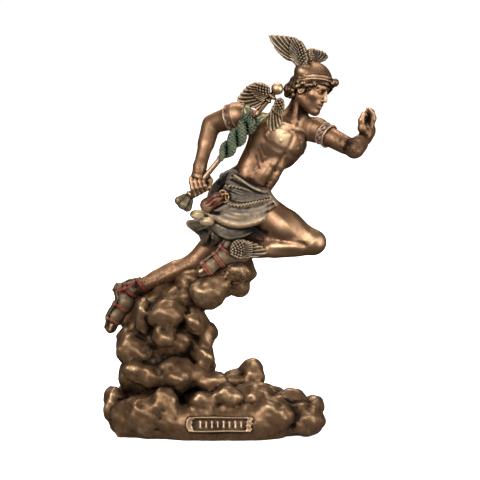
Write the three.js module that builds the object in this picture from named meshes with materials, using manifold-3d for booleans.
// Statuette of a running messenger god on a bank of clouds: cold-cast bronze, about 216 mm tall.
// Three castings: the cloud bank with its name plate, the figure that rests on it, and the herald's
// staff that is pushed through the figure's closed right hand.
//
// Millimetres, +Z up. The origin is on the underside, below the middle of the cloud bank. +X is the way
// the god runs, and -Y is the side that the figure turns its chest to.
//
// Each casting is modelled as clay would be: round masses and limbs are pressed together in a field of
// distances, and the skin of that field becomes the mesh.
import * as THREE from "three";
import Module from "manifold-3d";
import { mergeVertices } from "three/addons/utils/BufferGeometryUtils.js";
import { triTable } from "three/addons/objects/MarchingCubes.js";

const wasm = await Module();
wasm.setup();

// Driving dimensions
const statuetteHeight = 216; // floor to the tip of the helmet's near wing
const modelledHeight = 216; // the height at which the pose below is written
const clearance = 0.35; // between two castings where they meet
const staffRadius = 1.5; // the herald's staff, through the hand
const looseFit = clearance + 0.3; // the same gap in the fields, which leaves room for thinning
const finialBallRadius = 3.3; // the ball on top of the staff
const snakeRadius = 2.1; // thickest part of a snake
const snakeTurns = 1.4; // turns that each snake makes round the staff
const plateLength = 37; // name plate on the front of the clouds
const plateHeight = 8.6;
const plateThickness = 2.4;
const plateBacking = 5; // how far the plate's body reaches into the clouds
const plateStandsProud = 1.1;
const plateCentreX = 3.2;
const plateCentreZ = 10.2;
const plateSlope = 12; // degrees that the plate leans back
const strokeCount = 7; // shallow upright strokes on the plate
const strokeWidth = 0.9;
const strokeDepth = 0.5;
const featherThickness = 1.5;

// Fineness of each field and the number of triangles kept in each casting
const figureFineness = { cell: 1.15, triangles: 5300 };
const cloudFineness = { cell: 2.2, triangles: 2450 };
const staffFineness = { cell: 0.85, triangles: 1700 };

// Points and frames
const unit = statuetteHeight / modelledHeight;
const point = (x, y, z) => new THREE.Vector3(x, y, z).multiplyScalar(unit);
const way = (x, y, z) => new THREE.Vector3(x, y, z).normalize();
const between = (a, b, share) => a.clone().lerp(b, share);

// A frame on the body: at(left, ahead, up) is a point in it, and turn carries a shape into it.
function frameAt(origin, up, front) {
  const w = up.clone().normalize();
  const v = front.clone().addScaledVector(w, -front.dot(w)).normalize();
  const u = new THREE.Vector3().crossVectors(w, v);
  const basis = new THREE.Matrix4().makeBasis(u, v.clone().negate(), w);
  const turn = new THREE.Quaternion().setFromRotationMatrix(basis);
  const at = (left, ahead, high) => origin.clone().add(point(left, -ahead, high).applyQuaternion(turn));
  return { origin, turn, at, left: u, front: v, up: w };
}

// Shapes: each gives a distance and the box that it lies in
function mass(centre, radii, turn = new THREE.Quaternion()) {
  const [rx, ry, rz] = radii.map((r) => r * unit);
  const m = new THREE.Matrix4().makeRotationFromQuaternion(turn.clone().invert()).elements;
  const reach = Math.max(rx, ry, rz);
  const distance = (x, y, z) => {
    const dx = x - centre.x;
    const dy = y - centre.y;
    const dz = z - centre.z;
    const a = (m[0] * dx + m[4] * dy + m[8] * dz) / rx;
    const b = (m[1] * dx + m[5] * dy + m[9] * dz) / ry;
    const c = (m[2] * dx + m[6] * dy + m[10] * dz) / rz;
    const k0 = Math.sqrt(a * a + b * b + c * c);
    const k1 = Math.sqrt((a / rx) ** 2 + (b / ry) ** 2 + (c / rz) ** 2);
    return k1 > 0 ? (k0 * (k0 - 1)) / k1 : -Math.min(rx, ry, rz);
  };
  return { distance, low: centre.clone().subScalar(reach), high: centre.clone().addScalar(reach) };
}

// A limb tapers from one radius to the other; flat squeezes it along a direction.
function limb(a, b, radiusA, radiusB, flat = null) {
  const ra = radiusA * unit;
  const rb = radiusB * unit;
  const ab = b.clone().sub(a);
  const length2 = Math.max(ab.lengthSq(), 1e-9);
  const distance = (x, y, z) => {
    let dx = x - a.x;
    let dy = y - a.y;
    let dz = z - a.z;
    const t = Math.min(1, Math.max(0, (dx * ab.x + dy * ab.y + dz * ab.z) / length2));
    dx -= ab.x * t;
    dy -= ab.y * t;
    dz -= ab.z * t;
    if (flat) {
      const off = dx * flat.way.x + dy * flat.way.y + dz * flat.way.z;
      const more = off * (1 / flat.share - 1);
      dx += flat.way.x * more;
      dy += flat.way.y * more;
      dz += flat.way.z * more;
      const r = ra + (rb - ra) * t;
      return (Math.sqrt(dx * dx + dy * dy + dz * dz) - r) * Math.max(flat.share, 0.45);
    }
    return Math.sqrt(dx * dx + dy * dy + dz * dz) - (ra + (rb - ra) * t);
  };
  const reach = Math.max(ra, rb);
  return {
    distance,
    low: a.clone().min(b).subScalar(reach),
    high: a.clone().max(b).addScalar(reach),
  };
}

// A chain of limbs through points, with one radius for each point
function chain(points, radii) {
  return points.slice(1).map((p, i) => limb(points[i], p, radii[i], radii[i + 1]));
}

// The field of distances
const FAR = 30;
class Clay {
  constructor(low, high, cell) {
    this.cell = cell;
    this.low = low.clone();
    this.size = ["x", "y", "z"].map((axis) => Math.ceil((high[axis] - low[axis]) / cell) + 1);
    this.value = new Float32Array(this.size[0] * this.size[1] * this.size[2]).fill(FAR);
  }

  // Calls change(value, x, y, z) for each grid point of a box, and keeps what it returns.
  work(low, high, margin, change) {
    const [nx, ny, nz] = this.size;
    const range = (axis, n) => {
      const from = Math.floor((low[axis] - margin - this.low[axis]) / this.cell);
      const to = Math.ceil((high[axis] + margin - this.low[axis]) / this.cell);
      return [Math.max(0, from), Math.min(n - 1, to)];
    };
    const [x0, x1] = range("x", nx);
    const [y0, y1] = range("y", ny);
    const [z0, z1] = range("z", nz);
    for (let k = z0; k <= z1; k++) {
      const z = this.low.z + k * this.cell;
      for (let j = y0; j <= y1; j++) {
        const y = this.low.y + j * this.cell;
        for (let i = x0; i <= x1; i++) {
          const n = i + nx * (j + ny * k);
          this.value[n] = change(this.value[n], this.low.x + i * this.cell, y, z);
        }
      }
    }
  }

  // Presses a shape on; blend is the width of the soft fillet where it meets the rest.
  add(shape, blend = 1) {
    const k = Math.max(blend * unit, 1e-3);
    this.work(shape.low, shape.high, k + 2 * this.cell, (old, x, y, z) => {
      const d = shape.distance(x, y, z);
      const h = Math.max(k - Math.abs(old - d), 0) / k;
      return Math.min(old, d) - (h * h * k) / 4;
    });
  }

  addAll(shapes, blend = 1) {
    shapes.forEach((shape) => this.add(shape, blend));
  }

  cut(shape, blend = 0.5) {
    const k = Math.max(blend * unit, 1e-3);
    this.work(shape.low, shape.high, k + 2 * this.cell, (old, x, y, z) => {
      const d = -shape.distance(x, y, z);
      const h = Math.max(k - Math.abs(old - d), 0) / k;
      return Math.max(old, d) + (h * h * k) / 4;
    });
  }

  // The skin has to close inside the grid, so the outermost grid points are kept empty.
  closeBorder() {
    const [nx, ny, nz] = this.size;
    for (let n = 0; n < this.value.length; n++) {
      const i = n % nx;
      const j = Math.floor(n / nx) % ny;
      const k = Math.floor(n / (nx * ny));
      const onBorder = i === 0 || j === 0 || k === 0 || i === nx - 1 || j === ny - 1 || k === nz - 1;
      if (onBorder) this.value[n] = Math.max(this.value[n], this.cell / 4);
    }
  }

  // The distance at any point, from the eight grid points round it
  read(x, y, z) {
    const [nx, ny, nz] = this.size;
    const fx = (x - this.low.x) / this.cell;
    const fy = (y - this.low.y) / this.cell;
    const fz = (z - this.low.z) / this.cell;
    const i = Math.floor(fx);
    const j = Math.floor(fy);
    const k = Math.floor(fz);
    if (i < 0 || j < 0 || k < 0 || i >= nx - 1 || j >= ny - 1 || k >= nz - 1) return FAR;
    const mix = (a, b, t) => a + (b - a) * t;
    const row = (jj, kk) => {
      const n = i + nx * (jj + ny * kk);
      return mix(this.value[n], this.value[n + 1], fx - i);
    };
    const near = mix(row(j, k), row(j + 1, k), fy - j);
    const far = mix(row(j, k + 1), row(j + 1, k + 1), fy - j);
    return mix(near, far, fz - k);
  }

  // Takes away what is closer than a gap to another field.
  keepClearOf(other, gap) {
    const high = other.low.clone().add(new THREE.Vector3(...other.size).multiplyScalar(other.cell));
    this.work(other.low, high, 0, (old, x, y, z) => Math.max(old, gap - other.read(x, y, z)));
  }
}

// From field to mesh: marching cubes with the common table of 256 cases
function skinOf(clay) {
  clay.closeBorder();
  const [nx, ny, nz] = clay.size;
  const strides = [1, nx, nx * ny];
  const corners = [0, 1, 1 + nx, nx, nx * ny, 1 + nx * ny, 1 + nx + nx * ny, nx + nx * ny];
  const edges = [
    [0, 0], [1, 1], [3, 0], [0, 1], [4, 0], [5, 1], [7, 0], [4, 1], [0, 2], [1, 2], [2, 2], [3, 2],
  ];
  const value = clay.value;
  const points = [];
  const faces = [];
  const made = new Map();
  const vertexOn = (from, axis) => {
    const key = from * 3 + axis;
    if (made.has(key)) return made.get(key);
    const to = from + strides[axis];
    const share = Math.min(0.97, Math.max(0.03, value[from] / (value[from] - value[to])));
    const cell = [from % nx, Math.floor(from / nx) % ny, Math.floor(from / (nx * ny))];
    cell[axis] += share;
    points.push(
      clay.low.x + cell[0] * clay.cell,
      clay.low.y + cell[1] * clay.cell,
      clay.low.z + cell[2] * clay.cell,
    );
    made.set(key, points.length / 3 - 1);
    return points.length / 3 - 1;
  };
  for (let k = 0; k < nz - 1; k++)
    for (let j = 0; j < ny - 1; j++)
      for (let i = 0; i < nx - 1; i++) {
        const n = i + nx * (j + ny * k);
        let which = 0;
        for (let c = 0; c < 8; c++) if (value[n + corners[c]] < 0) which |= 1 << c;
        for (let t = which * 16; triTable[t] !== -1; t += 3) {
          const tri = [0, 1, 2].map((s) => {
            const [corner, axis] = edges[triTable[t + s]];
            return vertexOn(n + corners[corner], axis);
          });
          faces.push(tri[0], tri[2], tri[1]);
        }
      }
  return { points: Float64Array.from(points), faces: Int32Array.from(faces) };
}

// Fewer triangles: the edges that matter least to the shape collapse first
function thinned({ points, faces }, wanted) {
  const count = points.length / 3;
  const quadric = new Float64Array(count * 10);
  const around = Array.from({ length: count }, () => []);
  const alive = new Uint8Array(faces.length / 3).fill(1);
  const stamp = new Int32Array(count);
  const gone = new Uint8Array(count);
  const normalOf = (a, b, c) => {
    const ux = b[0] - a[0];
    const uy = b[1] - a[1];
    const uz = b[2] - a[2];
    const vx = c[0] - a[0];
    const vy = c[1] - a[1];
    const vz = c[2] - a[2];
    return [uy * vz - uz * vy, uz * vx - ux * vz, ux * vy - uy * vx];
  };
  const at = (v) => [points[3 * v], points[3 * v + 1], points[3 * v + 2]];
  const corner = (f) => [faces[3 * f], faces[3 * f + 1], faces[3 * f + 2]];

  for (let f = 0; f < alive.length; f++) {
    const [a, b, c] = corner(f);
    const n = normalOf(at(a), at(b), at(c));
    const size = Math.hypot(...n) || 1e-12;
    const [x, y, z] = n.map((e) => e / size);
    const p = at(a);
    const d = -(x * p[0] + y * p[1] + z * p[2]);
    const terms = [x * x, x * y, x * z, x * d, y * y, y * z, y * d, z * z, z * d, d * d];
    for (const v of [a, b, c]) {
      around[v].push(f);
      for (let t = 0; t < 10; t++) quadric[10 * v + t] += (terms[t] * size) / 2;
    }
  }

  const planOf = (a, b) => {
    const q = new Array(10);
    for (let t = 0; t < 10; t++) q[t] = quadric[10 * a + t] + quadric[10 * b + t];
    const pa = at(a);
    const pb = at(b);
    const middle = pa.map((e, i) => (e + pb[i]) / 2);
    const hold = 1e-3 * (q[0] + q[4] + q[7]) + 1e-9; // keeps the new point near the edge's middle
    const m = [q[0] + hold, q[1], q[2], q[1], q[4] + hold, q[5], q[2], q[5], q[7] + hold];
    const r = [hold * middle[0] - q[3], hold * middle[1] - q[6], hold * middle[2] - q[8]];
    const c0 = m[4] * m[8] - m[5] * m[7];
    const c1 = m[5] * m[6] - m[3] * m[8];
    const c2 = m[3] * m[7] - m[4] * m[6];
    const det = m[0] * c0 + m[1] * c1 + m[2] * c2;
    const p = [
      (r[0] * c0 + r[1] * (m[2] * m[7] - m[1] * m[8]) + r[2] * (m[1] * m[5] - m[2] * m[4])) / det,
      (r[0] * c1 + r[1] * (m[0] * m[8] - m[2] * m[6]) + r[2] * (m[2] * m[3] - m[0] * m[5])) / det,
      (r[0] * c2 + r[1] * (m[1] * m[6] - m[0] * m[7]) + r[2] * (m[0] * m[4] - m[1] * m[3])) / det,
    ];
    const [x, y, z] = p;
    const cost = q[0] * x * x + q[4] * y * y + q[7] * z * z + q[9]
      + 2 * (q[1] * x * y + q[2] * x * z + q[5] * y * z + q[3] * x + q[6] * y + q[8] * z);
    const length2 = (pa[0] - pb[0]) ** 2 + (pa[1] - pb[1]) ** 2 + (pa[2] - pb[2]) ** 2;
    return { cost: Math.max(cost, 0) + 1e-5 * length2, a, b, p, sa: stamp[a], sb: stamp[b] };
  };

  const heap = [];
  const push = (item) => {
    let i = heap.length;
    heap.push(item);
    while (i > 0) {
      const parent = (i - 1) >> 1;
      if (heap[parent].cost <= item.cost) break;
      heap[i] = heap[parent];
      i = parent;
    }
    heap[i] = item;
  };
  const pop = () => {
    const top = heap[0];
    const last = heap.pop();
    if (heap.length) {
      let i = 0;
      for (;;) {
        let child = 2 * i + 1;
        if (child >= heap.length) break;
        if (child + 1 < heap.length && heap[child + 1].cost < heap[child].cost) child++;
        if (heap[child].cost >= last.cost) break;
        heap[i] = heap[child];
        i = child;
      }
      heap[i] = last;
    }
    return top;
  };

  const ringOf = (v) => {
    const ring = new Set();
    for (const f of around[v]) for (const w of corner(f)) if (w !== v) ring.add(w);
    return ring;
  };
  // A face may not turn over or become a sliver when its corner moves to p.
  const staysSound = (v, other, p) => around[v].every((f) => {
    const c = corner(f);
    if (c.includes(other)) return true;
    const before = normalOf(at(c[0]), at(c[1]), at(c[2]));
    const moved = c.map((w) => (w === v ? p : at(w)));
    const after = normalOf(...moved);
    const dot = before[0] * after[0] + before[1] * after[1] + before[2] * after[2];
    const size = Math.hypot(...after);
    const longest = Math.max(...[0, 1, 2].map((s) => Math.hypot(
      moved[s][0] - moved[(s + 1) % 3][0],
      moved[s][1] - moved[(s + 1) % 3][1],
      moved[s][2] - moved[(s + 1) % 3][2],
    )));
    return dot > 0.3 * size * Math.hypot(...before) && size > 0.06 * longest * longest;
  });

  for (let v = 0; v < count; v++) for (const w of ringOf(v)) if (w > v) push(planOf(v, w));
  let left = alive.length;
  while (left > wanted && heap.length) {
    const { a, b, p, sa, sb } = pop();
    if (gone[a] || gone[b] || stamp[a] !== sa || stamp[b] !== sb) continue;
    const ringA = ringOf(a);
    const ringB = ringOf(b);
    const shared = [...ringA].filter((w) => ringB.has(w));
    if (shared.length !== 2 || ringA.size + ringB.size < 7) continue;
    if (!staysSound(a, b, p) || !staysSound(b, a, p)) continue;
    for (const f of around[b]) {
      if (corner(f).includes(a)) {
        alive[f] = 0;
        left--;
      } else {
        for (let s = 0; s < 3; s++) if (faces[3 * f + s] === b) faces[3 * f + s] = a;
        around[a].push(f);
      }
    }
    around[a] = around[a].filter((f) => alive[f]);
    for (const w of shared) around[w] = around[w].filter((f) => alive[f]);
    points.set(p, 3 * a);
    for (let t = 0; t < 10; t++) quadric[10 * a + t] += quadric[10 * b + t];
    gone[b] = 1;
    stamp[a]++;
    for (const w of ringOf(a)) push(planOf(a, w));
  }
  return { points, faces: faces.filter((_, i) => alive[Math.floor(i / 3)]) };
}

// Solids
const solidFrom = (geometry) => {
  const bare = geometry.clone();
  bare.deleteAttribute("normal");
  bare.deleteAttribute("uv");
  const merged = mergeVertices(bare, 1e-3);
  return new wasm.Manifold(new wasm.Mesh({
    numProp: 3,
    vertProperties: Float32Array.from(merged.attributes.position.array),
    triVerts: Uint32Array.from(merged.index.array),
  }));
};

const geometryOf = (solid) => {
  const mesh = solid.getMesh();
  return new THREE.BufferGeometry()
    .setAttribute("position", new THREE.BufferAttribute(Float32Array.from(mesh.vertProperties), 3))
    .setIndex(new THREE.BufferAttribute(Uint32Array.from(mesh.triVerts), 1));
};

const largestOf = (solid) => solid.decompose().sort((a, b) => b.volume() - a.volume())[0];

function solidOf(clay, triangles) {
  const { points, faces } = thinned(skinOf(clay), triangles);
  const geometry = new THREE.BufferGeometry()
    .setAttribute("position", new THREE.BufferAttribute(Float32Array.from(points), 3))
    .setIndex(new THREE.BufferAttribute(Uint32Array.from(faces), 1));
  return largestOf(solidFrom(geometry));
}

// The same solid, swollen by a gap, for cutting its neighbour
function swollen(solid, gap) {
  const geometry = mergeVertices(geometryOf(solid), 1e-3);
  geometry.computeVertexNormals();
  const { position, normal } = geometry.attributes;
  for (let i = 0; i < position.count; i++)
    position.setXYZ(
      i,
      position.getX(i) + gap * normal.getX(i),
      position.getY(i) + gap * normal.getY(i),
      position.getZ(i) + gap * normal.getZ(i),
    );
  return solidFrom(geometry);
}

// The pose: joints of the body
const pelvis = point(20, 0, 125);
const neckBase = point(42, 2.5, 166.5);
const torso = frameAt(pelvis, way(0.44, 0.03, 0.9), way(0.58, -0.78, -0.26));
const head = frameAt(point(51.6, -0.5, 186), way(0.2, 0.08, 0.97), way(0.85, -0.5, -0.14));
const helmet = frameAt(point(54, 0.2, 190), way(0.04, 0.3, 0.95), way(0.87, -0.49, 0));

const leftShoulder = point(55, 7, 163.6);
const leftElbow = point(75.2, -8, 153.8);
const leftWrist = point(81.6, 7.5, 159.2);
const rightShoulder = point(12.5, -3.5, 171.5);
const rightElbow = point(-1.4, 3, 166.8);
const rightWrist = point(-7.4, -9.5, 145);
const rightHip = point(24, -7, 121.5);
const rightKnee = point(53.6, -18, 104.8);
const rightAnkle = point(15.4, -14.5, 98.8);
const leftHip = point(16, 7, 119);
const leftKnee = point(-10.8, 9.5, 91);
const leftAnkle = point(-45, 9, 76);

// The staff runs from its lower knob, through the right fist, to the ball beside the neck.
const staffFoot = point(-18.4, -13, 122.6);
const staffTop = point(33.9, -17.5, 187);
const gripAlong = 17.6; // from the staff's foot to the middle of the fist
const staffWay = staffTop.clone().sub(staffFoot).normalize();
const staff = frameAt(staffFoot, staffWay, way(0, -1, 0));
const staffLength = staffTop.distanceTo(staffFoot);

// Feathers
// A wing hangs its feathers from a bone between root and wrist, and their ends run from tip to heel.
// Short rows lie over the long one, on the outward side.
function wing({ root, wrist, tip, heel, outward }, rows = wingRows) {
  const shapes = [limb(root, wrist, 1.5, 1.4)];
  const edgeMiddle = between(tip, heel, 0.5);
  const chord = edgeMiddle.clone().sub(between(root, wrist, 0.5));
  const middle = edgeMiddle.addScaledVector(chord, 0.12);
  const edgeLength = tip.distanceTo(middle) + middle.distanceTo(heel);
  rows.forEach(({ count, reach, lift }) => {
    for (let i = 0; i < count; i++) {
      const t = i / (count - 1);
      const start = between(wrist, root, t).addScaledVector(outward, lift * unit);
      const edge = between(between(tip, middle, t), between(middle, heel, t), t);
      const end = between(start, edge, reach).addScaledVector(outward, lift * 0.5 * unit);
      const width = ((edgeLength / (count - 1)) * 0.62 * (0.55 + 0.45 * reach)) / unit;
      const flat = { way: outward, share: featherThickness / 2 / width };
      shapes.push(limb(start, end, width * 0.6, width, flat));
    }
  });
  return shapes;
}

const wingRows = [
  { count: 6, reach: 0.93, lift: 0 },
  { count: 5, reach: 0.62, lift: 0.8 },
  { count: 5, reach: 0.34, lift: 1.4 },
];

// Body
function addTorso(clay) {
  clay.add(mass(torso.at(-0.8, 0.2, 32.5), [15.2, 9.8, 12.6], torso.turn), 1);
  clay.add(mass(torso.at(-5, -1.8, 16), [11, 8, 13], torso.turn), 5);
  clay.add(mass(torso.at(-2.8, -0.6, 0), [11.5, 10.5, 9.6], torso.turn), 5);
  clay.addAll(chain([rightShoulder, torso.at(-5.3, -0.1, 43), neckBase, leftShoulder], [5.4, 5.6, 5.6, 5]), 6);
  // Flanks, chest plates, the two columns of the belly and the ridges above the hips
  clay.add(limb(torso.at(-13.6, -3, 36), torso.at(-10.6, -4.4, 17), 5, 3.6), 5);
  clay.add(limb(torso.at(8.6, -2.4, 35), torso.at(3, -3.6, 20), 4.6, 3), 5);
  for (const side of [-1, 1]) {
    clay.add(mass(torso.at(side * 7.2 - 1.6, 7.4, 37.4), [6.9, 2.8, 5.4], torso.turn), 3);
    const heights = [4, 10.5, 17, 23.5];
    const column = heights.map((high) => torso.at(side * 2.9 - 4 + 0.08 * high, 3.6 + high * 0.15, high));
    clay.addAll(chain(column, [3.2, 3, 3, 2.8]), 1.6);
    clay.add(limb(torso.at(side * 8 - 5, 0.6, 5), torso.at(side * 7.4 - 4.6, 1.2, 12), 3, 2.6), 3);
  }
}

function addNeckAndHead(clay) {
  clay.add(limb(neckBase, head.at(0, -3, -7), 6, 5.3), 5);
  clay.add(limb(head.at(-5, -2.5, -6), torso.at(-2.4, 6.6, 43), 1.4, 1.2), 3);
  clay.add(mass(head.at(0, -1.2, 3), [8.4, 9.8, 9.6], head.turn), 3);
  clay.add(mass(head.at(0, 2.6, -3.6), [6.8, 7, 9], head.turn), 3);
  clay.add(mass(head.at(0, 6.2, -10.4), [3.2, 2.7, 2.6], head.turn), 2.5);
  for (const side of [-1, 1]) {
    clay.add(mass(head.at(side * 4.6, 6.4, -2.4), [2.4, 2.2, 2.2], head.turn), 2);
    clay.cut(mass(head.at(side * 3.4, 9.8, 0.9), [2.2, 1.7, 1.4], head.turn), 1);
    clay.add(mass(head.at(side * 3.3, 7.2, 0.8), [1.9, 1.8, 1.3], head.turn), 0.4);
    clay.add(limb(head.at(side * 5.4, 7.4, 3), head.at(side * 0.8, 9.4, 3), 1.1, 1.1), 1.2);
    clay.add(limb(head.at(0, 9.6, -6.2), head.at(side * 2.3, 8.4, -6.3), 0.9, 0.6), 0.6);
    clay.add(limb(head.at(0, 9.3, -7.7), head.at(side * 1.8, 8.4, -7.6), 1, 0.7), 0.6);
  }
  clay.add(limb(head.at(0, 9.2, 2.4), head.at(0, 11.2, -3), 1, 1.4), 1);
}

// Curls hang below the brim at the sides and the back.
function addHair(clay) {
  const curls = 11;
  const rowReach = [9.3, 8.9, 7.6];
  rowReach.forEach((out, row) => {
    for (let i = 0; i < curls; i++) {
      const angle = Math.PI * (0.36 + (1.28 * (i + 0.5 * (row % 2))) / (curls - 0.5));
      const lock = head.at(-Math.sin(angle) * out, Math.cos(angle) * (out + 1.6) - 0.8, 2 - 3.6 * row);
      const size = 2.3 + 0.35 * Math.sin(7 * i + 3 * row);
      if (row < 2 || Math.cos(angle) < -0.2) clay.add(mass(lock, [size, size, size * 1.1]), 0.8);
    }
  });
}

function addHelmet(clay) {
  const dome = mass(helmet.at(0, -0.4, 0), [9.5, 10.7, 11.3], helmet.turn);
  const level = helmet.at(0, 0, -0.4);
  const whole = dome.distance;
  dome.distance = (x, y, z) => {
    const { x: ux, y: uy, z: uz } = helmet.up;
    const height = (x - level.x) * ux + (y - level.y) * uy + (z - level.z) * uz;
    return Math.max(whole(x, y, z), -height);
  };
  clay.add(dome, 0.3);
  clay.add(mass(helmet.at(0, 0.1, -0.2), [11.4, 12.6, 1.6], helmet.turn), 0.6);
  clay.add(mass(helmet.at(0, 0, 1.6), [10.2, 11.3, 1.3], helmet.turn), 0.5);
  clay.add(mass(helmet.at(0, 12.4, -0.6), [2.8, 2.2, 2.2], helmet.turn), 0.8);
  // The near wing sweeps up and back; the far one mirrors it and is seen from within.
  const near = {
    root: point(50.4, -5.2, 198.4),
    wrist: point(47.8, -2.5, 210),
    tip: point(29.6, 5, 214),
    heel: point(41.8, -1, 200.6),
    outward: way(-0.25, -0.93, 0.27),
  };
  const far = {
    root: point(52.6, 3.5, 198.4),
    wrist: point(51.2, 8.5, 206.4),
    tip: point(60.4, 20, 203.6),
    heel: point(57.4, 11, 198.8),
    outward: way(-0.72, 0.42, 0.55),
  };
  clay.addAll([limb(helmet.at(0, 0, 5), near.root, 2, 1.8), ...wing(near)], 0.5);
  clay.addAll([limb(helmet.at(0, 0, 5), far.root, 2, 1.8), ...wing(far)], 0.5);
}

// Arms
function armband(clay, from, to, share, radius) {
  const middle = between(from, to, share);
  const arm = frameAt(middle, to.clone().sub(from), way(0, -1, 0.2));
  clay.add(mass(middle, [radius, radius, 3.1], arm.turn), 0.4);
}

function addLeftArm(clay) {
  clay.add(mass(leftShoulder, [6.6, 6.4, 6.2]), 4);
  clay.add(limb(between(leftShoulder, leftElbow, 0.08), leftElbow, 5.5, 4.1), 3);
  const biceps = [0.35, 0.75].map((share) => between(leftShoulder, leftElbow, share));
  clay.addAll(chain(biceps, [4.6, 4.2]), 2);
  clay.add(limb(leftElbow, leftWrist, 4.1, 2.7), 1.5);
  clay.add(mass(between(leftElbow, leftWrist, 0.35), [4.3, 4.3, 4.3]), 2);
  armband(clay, leftShoulder, leftElbow, 0.36, 6.9);
  addRaisedHand(clay);
}

// The open hand faces the front; its four fingers curl a little and the thumb stands in front.
function addRaisedHand(clay) {
  const hand = frameAt(leftWrist, way(0.14, 0.04, 0.99), way(-0.62, -0.78, 0));
  const palm = { way: hand.front, share: 0.72 };
  clay.add(limb(hand.at(0, 0, 0.5), hand.at(0.2, -0.4, 5.6), 3, 3.4, palm), 1.6);
  for (let finger = 0; finger < 4; finger++) {
    const side = 2.9 - 1.9 * finger;
    const reach = [0.9, 1, 0.95, 0.76][finger];
    const knuckle = hand.at(side, -0.8, 7);
    const bend = hand.at(side * 0.95, -0.6, 7 + 4 * reach);
    const tip = hand.at(side * 0.8, 2, 7 + 8.3 * reach);
    clay.addAll(chain([knuckle, bend, tip], [1.45, 1.3, 1.05]), 0.5);
  }
  const thumb = [hand.at(2.6, 1.4, 1.6), hand.at(3.6, 3.4, 6), hand.at(3.2, 4, 10.8)];
  clay.addAll(chain(thumb, [2.2, 1.7, 1.2]), 1);
}

function addRightArm(clay) {
  clay.add(mass(rightShoulder, [7, 6.8, 7]), 4);
  clay.add(limb(between(rightShoulder, rightElbow, 0.1), rightElbow, 6.4, 4.8), 3);
  clay.add(limb(rightElbow, rightWrist, 4.6, 3.3), 2);
  const swelling = [0.12, 0.5].map((share) => between(rightElbow, rightWrist, share));
  clay.addAll(chain(swelling, [4.4, 3.9]), 2);
  armband(clay, rightShoulder, rightElbow, 0.42, 7.6);
  addFist(clay);
}

// The fist is closed round the staff: four fingers across it, the thumb behind.
function addFist(clay) {
  const grip = staff.at(0, 0, gripAlong);
  const fist = frameAt(grip, rightWrist.clone().sub(grip), way(0.1, -0.98, 0.15));
  clay.add(limb(fist.at(0.2, 0.6, 1.4), rightWrist, 4.6, 3.4), 2);
  clay.add(mass(fist.at(0.2, 0, 0), [5.2, 4.4, 4.6], fist.turn), 1.5);
  for (let finger = 0; finger < 4; finger++) {
    const side = -4.1 + 2.5 * finger;
    const knuckle = fist.at(side, 3.2, 3.6 - 0.5 * Math.abs(finger - 1.3));
    const bend = fist.at(side + 0.5, 3.9, -2.6);
    const tip = fist.at(side + 1, 0.2, -5.6 + 0.5 * finger);
    clay.addAll(chain([knuckle, bend, tip], [1.6, 1.5, 1.3]), 0.4);
  }
  clay.add(limb(fist.at(4.6, -1, 1), fist.at(2.6, -3.8, -3), 1.8, 1.4), 0.8);
}

// Legs
function addFrontLeg(clay) {
  const thighMiddle = between(rightHip, rightKnee, 0.5).add(point(0, 0, -0.8));
  clay.add(limb(rightHip, thighMiddle, 10.4, 9), 3);
  clay.add(limb(thighMiddle, rightKnee, 9, 5.8), 3);
  clay.add(mass(rightKnee.clone().add(point(0, -0.4, 0.4)), [6.1, 5.8, 6.2]), 3);
  clay.add(limb(rightKnee.clone().add(point(-1, 0, -1.8)), rightAnkle, 5, 3.4), 1.2);
  clay.add(limb(between(rightKnee, rightAnkle, 0.25), between(rightKnee, rightAnkle, 0.55), 5.9, 5), 1.5);
  addFoot(clay, {
    ankle: rightAnkle,
    heel: point(8.1, -13.6, 103.8),
    middle: point(3.4, -15, 96.4),
    ball: point(-2.7, -16, 91.8),
    toes: point(-7, -16.2, 89.1),
    soleSide: way(-0.63, 0.1, 0.77),
  });
  clay.add(mass(point(12, -16.8, 99.6), [4.6, 2.6, 4.8]), 0.8);
  const heelWing = {
    root: point(11.4, -20.2, 97.2),
    wrist: point(13, -20.4, 104.4),
    tip: point(29, -22.6, 100.4),
    heel: point(20.8, -21.4, 96),
    outward: way(0, -1, 0),
  };
  clay.add(limb(point(13, -17, 100.4), point(22, -19.4, 100), 3.4, 2.2), 0.6);
  clay.addAll(wing(heelWing), 0.5);
}

function addBackLeg(clay) {
  clay.add(limb(leftHip, between(leftHip, leftKnee, 0.5), 9.6, 7), 3);
  clay.add(limb(between(leftHip, leftKnee, 0.45), leftKnee, 7.2, 5.1), 3);
  clay.add(limb(leftKnee, leftAnkle, 5, 3.5), 2);
  clay.add(limb(between(leftKnee, leftAnkle, 0.3), between(leftKnee, leftAnkle, 0.6), 5.7, 4.6), 2);
  addFoot(clay, {
    ankle: leftAnkle,
    heel: point(-51.4, 9, 76),
    middle: point(-49.4, 8.6, 69),
    ball: point(-53.2, 8.2, 61.4),
    toes: point(-56.2, 8, 55.4),
    soleSide: way(-0.9, 0, 0.42),
  });
  // The wing of the far heel is on its outer side, away from the front.
  const heelWing = {
    root: point(-48.6, 13.6, 72.6),
    wrist: point(-50.8, 13.6, 78),
    tip: point(-33.4, 16.4, 82),
    heel: point(-38, 15, 75.4),
    outward: way(0, 1, 0),
  };
  clay.add(mass(point(-47.4, 11.8, 75.4), [4.4, 2.6, 4.4]), 0.8);
  clay.addAll(wing(heelWing), 0.5);
}

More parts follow.
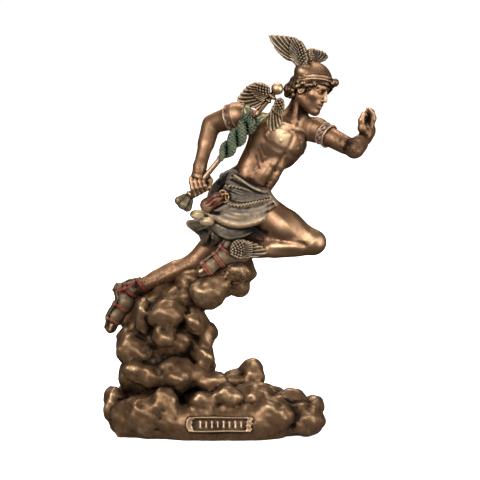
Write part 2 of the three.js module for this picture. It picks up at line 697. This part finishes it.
// A foot in a sandal: heel, instep, ball and toes over a thin sole
function addFoot(clay, { ankle, heel, middle, ball, toes, soleSide }) {
  clay.add(mass(ankle, [4.2, 4.2, 4.2]), 1.5);
  clay.add(limb(heel, ankle, 3.6, 3.6), 2);
  clay.add(limb(heel, middle, 3.7, 4.2), 2);
  clay.add(limb(ankle, middle, 3.8, 4), 2);
  clay.add(limb(middle, ball, 4.4, 4.3), 2);
  const along = toes.clone().sub(ball);
  const across = new THREE.Vector3().crossVectors(soleSide, along).normalize();
  for (let toe = 0; toe < 5; toe++) {
    const side = across.clone().multiplyScalar((toe - 2) * 1.75 * unit);
    const end = toes.clone().add(side).addScaledVector(along, -0.1 * toe);
    clay.add(limb(ball.clone().add(side.clone().multiplyScalar(0.9)), end, 2.2, 1.7), 0.6);
  }
  const under = (p, by) => p.clone().addScaledVector(soleSide, by * unit);
  const sole = [under(heel, 3.2), under(middle, 3.6), under(ball, 3.4), under(toes, 1.6)];
  sole.slice(1).forEach((p, i) => {
    clay.add(limb(sole[i], p, 3.3, i === 2 ? 2.9 : 3.8, { way: soleSide, share: 0.3 }), 0.3);
  });
}

// Drapery
// Lines across the front of the cloth, from the left hand side to the right
const waistLine = [
  point(10, -6, 140.6),
  point(14.4, -8, 138),
  point(19, -10.5, 133.6),
  point(24.4, -11, 131),
  point(28.4, -8, 130.6),
];
const beltLine = [
  point(5, -13.4, 127.4),
  point(9.8, -16.4, 125.4),
  point(14.6, -17.6, 124.9),
  point(22, -17.2, 126.4),
  point(30.4, -11.4, 127.4),
];
const hemLine = [
  point(-0.6, -12.4, 119.4),
  point(5.6, -16, 115.6),
  point(13, -18, 113.2),
  point(22.4, -18.6, 114.8),
  point(33.2, -12, 122.4),
];

// The same cloth round the back, from the right hand side to the left
const backBelt = [
  point(30.4, -11.4, 127.4),
  point(31, -2, 127.2),
  point(25.4, 7.6, 128),
  point(16, 11.6, 131),
  point(8, 10, 134.6),
  point(5, 2, 138.6),
];
const backHem = [
  point(33.2, -12, 122.4),
  point(33.8, 0, 117.6),
  point(28.4, 12, 112.8),
  point(16, 17, 108.6),
  point(4, 16.4, 106),
  point(-4, 12.4, 104.6),
];

function addDrapery(clay) {
  // The cloth round the hips
  clay.add(mass(point(15.6, -3, 122.6), [17, 13.8, 9.4], turnedAboutY(-5)), 1);
  clay.add(mass(point(16.6, -0.5, 131.4), [10.8, 10.6, 6.4], turnedAboutY(20)), 3);
  clay.add(mass(point(6, 3, 127), [10, 9.4, 9.5], turnedAboutY(-30)), 3);
  const folds = 6;
  for (let i = 0; i < folds; i++) {
    const ridge = i % 2 ? 0.7 : 0;
    const upper = waistLine.map((p, n) => between(p, beltLine[n], i / folds));
    const lower = beltLine.map((p, n) => between(p, hemLine[n], (i + 1) / folds));
    clay.addAll(chain(upper, [1.6, 2, 2, 1.8, 1.2].map((r) => r + ridge)), 1.6);
    clay.addAll(chain(lower, [1.6, 2, 2.1, 1.9, 1.2].map((r) => r + ridge)), 1.6);
  }
  for (let i = 0; i <= folds; i++) {
    const ridge = i % 2 ? 0.6 : 0;
    const round = backBelt.map((p, n) => between(p, backHem[n], i / folds));
    clay.addAll(chain(round, [1.2, 1.8, 2, 2.2, 2.2, 2].map((r) => r + ridge)), 2);
  }
  // The roll behind the waist, the two loose ends that fly back and the flap over the back thigh
  const backRoll = [point(13.4, 0, 142.6), point(8, -1, 138.4), point(2.6, -3, 133)];
  clay.addAll(chain(backRoll, [2.8, 3.6, 3.8]), 1.5);
  clay.add(mass(point(-3.4, -8.6, 117.8), [9.4, 5, 3.9], turnedAboutY(6)), 1.5);
  clay.add(mass(point(-1, -8, 115.4), [8.4, 4.4, 3.4], turnedAboutY(-6)), 1);
  clay.addAll(chain([point(6, 4, 114), point(-5, 5, 111.4), point(-14, 6, 112.2)], [6, 4.6, 1.5]), 1.5);
  clay.addAll(chain([point(8, 4, 112), point(0, 6, 107), point(-5.5, 8, 103.4)], [7.5, 6.8, 5.2]), 1.5);
  const innerFlap = [point(-3, 0, 113), point(1.6, -4.6, 106), point(9, -7, 104.4), point(31, -7, 107)];
  clay.addAll(chain(innerFlap, [3, 4.2, 4.2, 4.4]), 1.5);
}

function turnedAboutY(degrees) {
  return new THREE.Quaternion().setFromAxisAngle(way(0, 1, 0), THREE.MathUtils.degToRad(degrees));
}

// The cord belt, its knot and the purse that hangs behind it
function addBeltAndPurse(clay) {
  const cord = beltLine.map((p) => p.clone().add(point(0, -2.2, 0.4)));
  clay.addAll(chain(cord, [1.2, 1.2, 1.2, 1.2, 1]), 0.3);
  const purse = [point(7.4, -14.6, 130.8), point(2, -15.4, 128.6), point(-3.6, -15, 125)];
  clay.addAll(chain(purse, [2.2, 4, 4.8]), 1);
  clay.add(mass(point(7.6, -15.4, 130.4), [2.1, 2, 2.6]), 0.5);
}

function figureClay() {
  const clay = new Clay(point(-63, -27, 50), point(92, 30, 219), figureFineness.cell);
  addTorso(clay);
  addNeckAndHead(clay);
  addHair(clay);
  addHelmet(clay);
  addLeftArm(clay);
  addRightArm(clay);
  addBackLeg(clay);
  addFrontLeg(clay);
  addDrapery(clay);
  addBeltAndPurse(clay);
  const bore = (staffRadius + looseFit) / unit;
  clay.cut(limb(staff.at(0, 0, gripAlong - 9), staff.at(0, 0, gripAlong + 9), bore, bore), 0.2);
  return clay;
}

// The staff: a rod with a lobed knob, two snakes, two wings and a ball
function staffClay() {
  const clay = new Clay(point(-27, -25, 112), point(45, -4, 195), staffFineness.cell);
  const along = (s) => staff.at(0, 0, s);
  const thick = (mm) => mm / unit; // a size that keeps its own millimetres
  clay.add(limb(along(2), along(staffLength / unit), thick(staffRadius), thick(staffRadius * 0.92)), 0.2);
  clay.add(mass(along(staffLength / unit), Array(3).fill(thick(finialBallRadius)), staff.turn), 0.4);
  clay.add(mass(along(staffLength / unit - 5), [3.1, 3.1, 1.3], staff.turn), 0.5);
  // The knob at the foot: four lobes below a ring
  clay.add(mass(along(10), [2.9, 2.9, 1.8], staff.turn), 0.3);
  for (let lobe = 0; lobe < 4; lobe++) {
    const angle = (Math.PI / 2) * (lobe + 0.5);
    const centre = staff.at(2.3 * Math.cos(angle), 2.3 * Math.sin(angle), 4);
    clay.add(mass(centre, [2.7, 2.7, 4], staff.turn), 0.5);
  }
  // Each snake winds up from a shared tail and ends in a raised head.
  const from = 38;
  const to = 64;
  const steps = 26;
  for (const side of [0, 1]) {
    const body = [];
    const radii = [];
    for (let i = 0; i <= steps; i++) {
      const t = i / steps;
      const angle = Math.PI * side + 2 * Math.PI * snakeTurns * t + 0.6;
      const out = 0.8 + 2.5 * Math.sin(Math.PI * Math.min(1, 0.12 + 0.66 * t));
      body.push(staff.at(out * Math.cos(angle), out * 0.85 * Math.sin(angle), from + (to - from) * t));
      radii.push(thick(snakeRadius) * (0.45 + 0.55 * Math.sin(Math.PI * Math.min(0.62, 0.1 + 0.8 * t))));
    }
    clay.addAll(chain(body, radii), 0.35);
    const last = body[steps];
    const turned = last.clone().addScaledVector(staff.left, (side ? -3 : 3) * unit);
    const nose = turned.addScaledVector(staff.up, 1.6 * unit);
    clay.add(limb(last, nose, thick(snakeRadius) * 0.95, thick(snakeRadius) * 0.6), 0.6);
  }
  const rear = {
    root: point(30.4, -18.6, 184.6),
    wrist: point(23.6, -18.4, 188.8),
    tip: point(12.8, -17.4, 180),
    heel: point(25.4, -18, 178.4),
    outward: way(0, -1, 0),
  };
  const fore = {
    root: point(31.4, -18.8, 182.4),
    wrist: point(36.4, -17.8, 179.6),
    tip: point(30.2, -18, 163.8),
    heel: point(27.8, -18.6, 172.2),
    outward: way(0, -1, 0),
  };
  clay.addAll(wing(rear), 0.5);
  clay.addAll(wing(fore), 0.5);
  return clay;
}

// The cloud bank: [x, y, z] and the three radii of each billow
const billows = {
  column: [
    [-3.2, -12, 78.4, 10.4, 10, 9], [11.6, -6, 80.4, 7.6, 9, 6.6], [16.4, -5, 88, 6, 9, 6.4],
    [4.6, 2, 85, 9.4, 11, 7.4], [1, -13, 81.4, 8.4, 6.4, 6.6], [-11.4, 4, 80.6, 9.4, 10, 7.6],
    [-22.6, 5, 74.6, 10.4, 10, 7.6], [-33.6, 5, 70.6, 8.4, 9, 7.4], [-38, -11, 65.6, 5, 8, 9.2],
    [-24.8, -14, 65.4, 9.4, 9, 7.8], [-26.4, -18.5, 54.2, 6, 6.6, 5.8],
    [-10.8, -10, 61.8, 7.4, 9, 8], [-4, -6, 53.6, 5.6, 8, 6.6], [-5.6, -8, 42.4, 6.4, 8, 7.6],
    [-47.6, -3, 51.8, 5, 7, 5], [-44.2, -8, 45.4, 9.2, 9, 8.8], [-43, -15, 34.8, 6.4, 6.6, 6.2],
    [-34, -17, 32.8, 6.4, 6, 5.8], [-20.5, -16, 32.4, 10.6, 9, 9.8], [-8.6, -12, 32.6, 6, 7, 6],
    [-17.5, -4, 75.4, 12, 10, 8.6], [-30, 2, 70, 14, 12, 7], [-27, 2, 50, 21, 16, 22],
    [-28, 3, 32, 24, 17, 16], [-38, 12, 60, 10, 9, 9], [-20, 14, 64, 10, 9, 9],
    [-10, 12, 48, 9, 8, 8], [-42, 14, 42, 9, 8, 9], [-24, 19, 44, 10, 7, 9],
    [-30, 18, 27, 11, 9, 8], [-8, 16, 33, 9, 8, 8], [2, 10, 77, 8, 7, 7],
  ],
  bank: [
    [-54.6, -6, 16, 5.6, 9, 10.6], [-46.4, -17, 9, 8.6, 12, 11], [-35, -23, 12.6, 13, 11, 11.4],
    [-26, -26, 19.8, 7.8, 7, 6.8], [-22.6, -26, 11, 8.6, 8.4, 7.6], [-5, -27, 20.6, 7.6, 7, 5.8],
    [7.6, -26, 23.4, 7.6, 7, 5.4], [-1, -13, 28.6, 9, 9, 6.4], [20.2, 5, 28.8, 7.4, 8.2, 9.8],
    [10.6, 4, 27.6, 6, 7, 5.6], [21, -14, 20.8, 12, 12, 8], [30.6, -23, 12.6, 12.4, 12, 10.6],
    [40.6, -4, 16.6, 9.6, 10, 7.2], [54, 6, 12.2, 5.8, 8.4, 7.8], [48.6, -14, 8.4, 11.2, 13, 9.6],
    [0, 0, 4, 57.4, 33.4, 13], [-44, 12, 13, 12, 14, 13], [-26, 27, 11, 13, 9, 10],
    [-2, 29, 11, 14, 9, 10], [20, 27, 10, 13, 9, 9], [40, 19, 10, 12, 11, 9],
    [8, 17, 20, 11, 9, 8], [30, 11, 16.4, 9, 8, 8],
  ],
};

function cloudClay() {
  const clay = new Clay(point(-66, -44, -8), point(66, 44, 98), cloudFineness.cell);
  const all = [...billows.bank, ...billows.column];
  for (const [x, y, z, ...radii] of all) clay.add(mass(point(x, y, z), radii), 2.2);
  // Level ground for the name plate
  clay.add(limb(point(-12, -25.6, 8.4), point(23, -25.6, 8.4), 10.2, 10.2), 3);
  return clay;
}

// A plate of uneven outline, sunk into the front of the clouds, with a row of shallow strokes
function platePieces() {
  const half = plateLength / 2;
  const rise = plateHeight / 2;
  const notch = plateHeight * 0.12;
  const outline = new THREE.Shape();
  outline.moveTo(-half + notch, -rise);
  outline.quadraticCurveTo(-half - notch, 0, -half + notch, rise);
  outline.lineTo(half, rise);
  outline.lineTo(half - notch, rise * 0.25);
  outline.lineTo(half, -rise * 0.2);
  outline.lineTo(half - notch, -rise);
  outline.closePath();
  const depth = plateThickness + plateBacking;
  const slab = new THREE.ExtrudeGeometry(outline, { depth, bevelEnabled: false, curveSegments: 5 });
  slab.translate(0, 0, -depth);
  const strokes = [];
  for (let i = 0; i < strokeCount; i++) {
    const tall = rise * (i % 2 ? 0.75 : 1.05);
    const stroke = new THREE.BoxGeometry(strokeWidth, tall, 2 * strokeDepth);
    stroke.translate(((i + 0.5) / strokeCount - 0.5) * plateLength * 0.78, 0, 0);
    strokes.push(stroke);
  }
  return { slab, strokes };
}

const bankFront = -35.8 * unit; // front of the clouds behind the plate

function placePlate(geometry) {
  return geometry
    .rotateX(Math.PI / 2 - THREE.MathUtils.degToRad(plateSlope))
    .translate(plateCentreX, bankFront - plateStandsProud, plateCentreZ);
}

// Castings
const clays = { figure: figureClay(), staff: staffClay(), cloud: cloudClay() };
clays.staff.keepClearOf(clays.figure, looseFit);
clays.cloud.keepClearOf(clays.figure, looseFit);

// The bore through the closed fist
function fistBore() {
  const radius = staffRadius + clearance;
  const rod = new THREE.CylinderGeometry(radius, radius, 20 * unit, 12);
  rod.applyQuaternion(new THREE.Quaternion().setFromUnitVectors(way(0, 1, 0), staffWay));
  const grip = staff.at(0, 0, gripAlong);
  return solidFrom(rod.translate(grip.x, grip.y, grip.z));
}

// The bank is cut flat below, makes room for the figure and takes the plate with its strokes.
function cloudCasting(figureSolid) {
  const ground = new THREE.BoxGeometry(300 * unit, 300 * unit, 40 * unit).translate(0, 0, -20 * unit);
  const { slab, strokes } = platePieces();
  const bank = solidOf(clays.cloud, cloudFineness.triangles).subtract(swollen(figureSolid, clearance));
  const plated = bank.add(solidFrom(placePlate(slab))).subtract(solidFrom(ground));
  const carve = (rest, stroke) => rest.subtract(solidFrom(placePlate(stroke)));
  return largestOf(strokes.reduce(carve, plated));
}

const figureSolid = largestOf(solidOf(clays.figure, figureFineness.triangles).subtract(fistBore()));
const staffSolid = solidOf(clays.staff, staffFineness.triangles);
const cloudSolid = cloudCasting(figureSolid);

// Finishes
const bronze = (name, colour, roughness) => {
  const material = new THREE.MeshStandardMaterial({ color: colour, roughness, metalness: 0.75 });
  material.name = name;
  return material;
};

const statuette = new THREE.Group();
const casting = (name, solid, material) => {
  const mesh = new THREE.Mesh(geometryOf(solid), material);
  mesh.name = name;
  statuette.add(mesh);
};
casting("cloud_bank", cloudSolid, bronze("dark bronze", 0x6b5138, 0.42));
casting("messenger_figure", figureSolid, bronze("rubbed bronze", 0x94724f, 0.38));
casting("herald_staff", staffSolid, bronze("bronze with green snakes", 0x5e6b4c, 0.45));

export default statuette;
